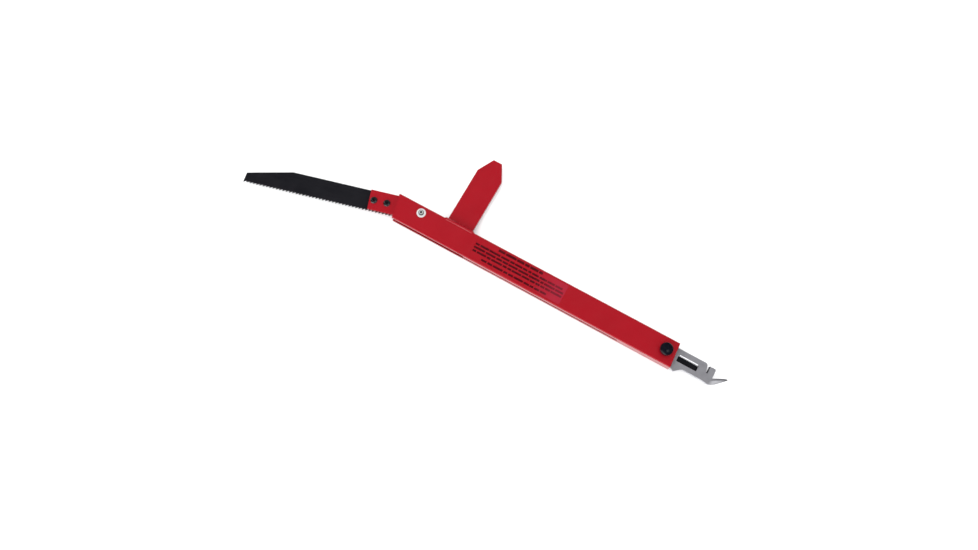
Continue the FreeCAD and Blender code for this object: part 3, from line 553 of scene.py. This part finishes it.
def saw_blade(bm):
    """The blade's plate with its holes, and teeth set alternately up and down."""
    low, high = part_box("saw_blade")

    def corner(u, v):
        return bm.verts.new((*saw_point(u, v), high.z))

    def loop(corners):
        return [bm.edges.new(pair) for pair in zip(corners, corners[1:] + corners[:1])]

    outline = [corner(u, v) for u, v in BLADE_OUTLINE]
    nose_u = BLADE_HEEL[0][0] + TOOTH_COUNT * TOOTH_PITCH
    lead = corner(NOSE_ROOT_U, TOOTH_ROOT_V)
    outline.append(lead)
    teeth = []
    for index in range(TOOTH_COUNT):
        tip_u = nose_u - index * TOOTH_PITCH
        next_lead_u = tip_u - TOOTH_PITCH + TOOTH_RAKE
        tip = corner(tip_u, TOOTH_TIP_V)
        back = corner(next_lead_u + GULLET_FLAT, TOOTH_ROOT_V)
        teeth.append((lead, tip, back))
        outline.append(back)
        if index < TOOTH_COUNT - 1:
            lead = corner(next_lead_u, TOOTH_ROOT_V)
            outline.append(lead)
    outline += [corner(u, v) for u, v in BLADE_HEEL]
    edges = loop(outline)
    for u, v in BLADE_HOLES:
        hole = []
        for i in range(BLADE_HOLE_SIDES):
            angle = 2 * math.pi * i / BLADE_HOLE_SIDES
            across, along = BLADE_HOLE_RADIUS * math.cos(angle), BLADE_HOLE_RADIUS * math.sin(angle)
            hole.append(corner(u + across, v + along))
        edges += loop(hole)
    bmesh.ops.triangle_fill(bm, use_beauty=True, edges=edges)
    for index, tooth in enumerate(teeth):
        bm.faces.new(tooth)
        tooth[1].co.z += TOOTH_SET * MM * (1 if index % 2 else -1)
    bmesh.ops.recalc_face_normals(bm, faces=bm.faces)
    grown = bmesh.ops.extrude_face_region(bm, geom=bm.faces[:], use_keep_orig=True)
    for item in grown["geom"]:
        if isinstance(item, bmesh.types.BMVert):
            item.co.z -= high.z - low.z


def print_bars(bm):
    """Lines of plain bars of word length with rounded corners, in place of the label's print."""
    rng = random.Random(BAR_SEED)
    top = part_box("label_film")[1].z
    for middle, half, left, right in PRINT_LINES:
        x = left
        while x < right - SHORTEST_BAR:
            length = min(rng.uniform(*BAR_LENGTHS), right - x)
            corner = half * BAR_ROUNDING
            points = []
            for cx, cy, start in ((1, -1, -90), (1, 1, 0), (-1, 1, 90), (-1, -1, 180)):
                for turn in (0, 30, 60, 90):
                    angle = math.radians(start + turn)
                    px = x + length / 2 + cx * (length / 2 - corner) + corner * math.cos(angle)
                    py = middle + cy * (half - corner) + corner * math.sin(angle)
                    points.append((px * MM, py * MM))
            lower = [bm.verts.new((px, py, top - INK_HALF_THICKNESS * MM)) for px, py in points]
            upper = [bm.verts.new((px, py, top + INK_HALF_THICKNESS * MM)) for px, py in points]
            bm.faces.new(upper)
            bm.faces.new(lower[::-1])
            for i in range(len(points)):
                k = (i + 1) % len(points)
                bm.faces.new((lower[i], lower[k], upper[k], upper[i]))
            x += length + rng.uniform(*BAR_GAPS)


def round_edges(piece, width):
    """Rounds the sharp edges of a piece; width is in millimetres."""
    bevel = piece.modifiers.new("rounded edges", "BEVEL")
    bevel.width = width * MM
    bevel.segments = 2
    bevel.limit_method = "ANGLE"
    bevel.angle_limit = math.radians(40)


def dress(node, material):
    """Gives a CAD node its material."""
    materials = frame["nodes"][node].data.materials
    materials.clear()
    materials.append(material)


def paper_floor():
    """A flat sheet of white paper just under the tool."""
    corners = [(x * FLOOR_REACH, y * FLOOR_REACH, 0) for x, y in ((-1, -1), (1, -1), (1, 1), (-1, 1))]
    mesh = bpy.data.meshes.new("floor")
    mesh.from_pydata(corners, [], [(0, 1, 2, 3)])
    floor = place_object("floor", mesh)
    floor.location.z = -FLOOR_GAP
    paper = Finish("paper_sweep")
    white = paper.mix(paper.grain(9.0, 2.0), (0.86, 0.86, 0.86), (0.88, 0.88, 0.88))
    paper.set(Base_Color=white, Roughness=0.9)
    paper.set(Normal=paper.bump(paper.grain(600.0, 3.0), 0.00002, 0.3))
    mesh.materials.append(paper.material)


def light_tent():
    """The world: it lights the tool from all round but is not mirrored in it."""
    world = bpy.data.worlds.new("tent")
    bpy.context.scene.world = world
    world.use_nodes = True
    world.cycles_visibility.glossy = False
    tree = world.node_tree
    tree.nodes.clear()
    direction = tree.nodes.new("ShaderNodeTexCoord").outputs["Generated"]
    split = tree.nodes.new("ShaderNodeSeparateXYZ")
    ramp = tree.nodes.new("ShaderNodeValToRGB")
    background = tree.nodes.new("ShaderNodeBackground")
    background.inputs["Strength"].default_value = TENT_STRENGTH
    output = tree.nodes.new("ShaderNodeOutputWorld")
    tree.links.new(direction, split.inputs[0])
    tree.links.new(split.outputs["Z"], ramp.inputs["Fac"])
    tree.links.new(ramp.outputs["Color"], background.inputs["Color"])
    tree.links.new(background.outputs["Background"], output.inputs["Surface"])
    for stop, (height, level) in zip(ramp.color_ramp.elements, TENT_LEVELS):
        stop.position = height
        stop.color = (level, level, level * TENT_BLUE, 1.0)


def area_light(name, place, aim, size, power, glossy):
    """Soft light aimed at a point; size is its width and height, and glossy says whether it is mirrored."""
    data = bpy.data.lights.new(name, "AREA")
    data.shape = "RECTANGLE"
    data.size, data.size_y = size
    data.energy = power
    light = place_object(name, data)
    light.location = place
    light.rotation_mode = "QUATERNION"
    light.rotation_quaternion = (Vector(aim) - Vector(place)).to_track_quat("-Z", "Y")
    light.visible_glossy = glossy


def place_camera():
    """Looks down on the tool from its front side."""
    azimuth, elevation = math.radians(CAMERA_AZIMUTH), math.radians(CAMERA_ELEVATION)
    level = math.cos(elevation)
    back = Vector((math.sin(azimuth) * level, -math.cos(azimuth) * level, math.sin(elevation)))
    data = bpy.data.cameras.new("camera")
    data.sensor_width = 36.0
    data.lens = CAMERA_LENS
    data.clip_start = 0.05
    data.clip_end = 20.0
    camera = place_object("camera", data)
    camera.location = Vector(LOOK_AT) + back * CAMERA_DISTANCE
    camera.rotation_mode = "QUATERNION"
    camera.rotation_quaternion = (-back).to_track_quat("-Z", "Y")
    bpy.context.scene.camera = camera
    bpy.context.scene.view_settings.view_transform = "Standard"


finishes = {
    "red_paint": red_enamel("red_enamel"),
    "label": red_enamel("label_film", clear=0.5),
    "black_blade": blade_black(),
    "ground_steel": ground_steel(),
    "zinc_plate": zinc_plate("zinc_plate", 0.42),
    "black_oxide": black_oxide([saw_point(u, v) for u, v in BLADE_HOLES]),
    "black_plastic": black_phenolic(),
    "nylon": nylon(),
    "bare_steel": bare_steel(),
    "bronze": bronze(),
}
for part in frame["record"]["subparts"]:
    dress(part["node"], finishes[part["material_slot"]])
# The pivot screw gets painted shade in its socket and round the side of its head.
dress("pivot_screw", zinc_plate("zinc_screw", 0.6, (pivot_axis, PIVOT_SOCKET_RADIUS, PIVOT_SIDE_RADIUS)))

bead_finish = red_enamel("bead_enamel", pooled=1.0)
bead = new_piece("weld_bead", weld_bead, bead_finish, "handle", "red_paint", "fin_weld")
bead.data.shade_smooth()
coated = finishes["black_blade"]
blade = new_piece("blade_with_set_teeth", saw_blade, coated, "saw", "black_blade", "saw_blade")
round_edges(blade, BLADE_ROUNDING)
new_piece("label_bars", print_bars, print_ink(), "handle", "label")

paper_floor()
light_tent()
area_light("overhead", (-0.55, 0.45, 1.75), (-0.05, 0.0, 0.0), (1.6, 1.6), 12.0, False)
area_light("front", (-0.45, -1.65, 0.80), (-0.05, 0.0, 0.0), (1.6, 1.2), 17.5, False)
area_light("front_card", (-0.25, -1.60, 0.62), (-0.05, 0.0, 0.0), (2.4, 1.2), 12.5, True)
area_light("top_card", (0.80, -0.28, 1.45), (0.30, 0.0, 0.0), (0.65, 0.55), 1.2, True)
place_camera()
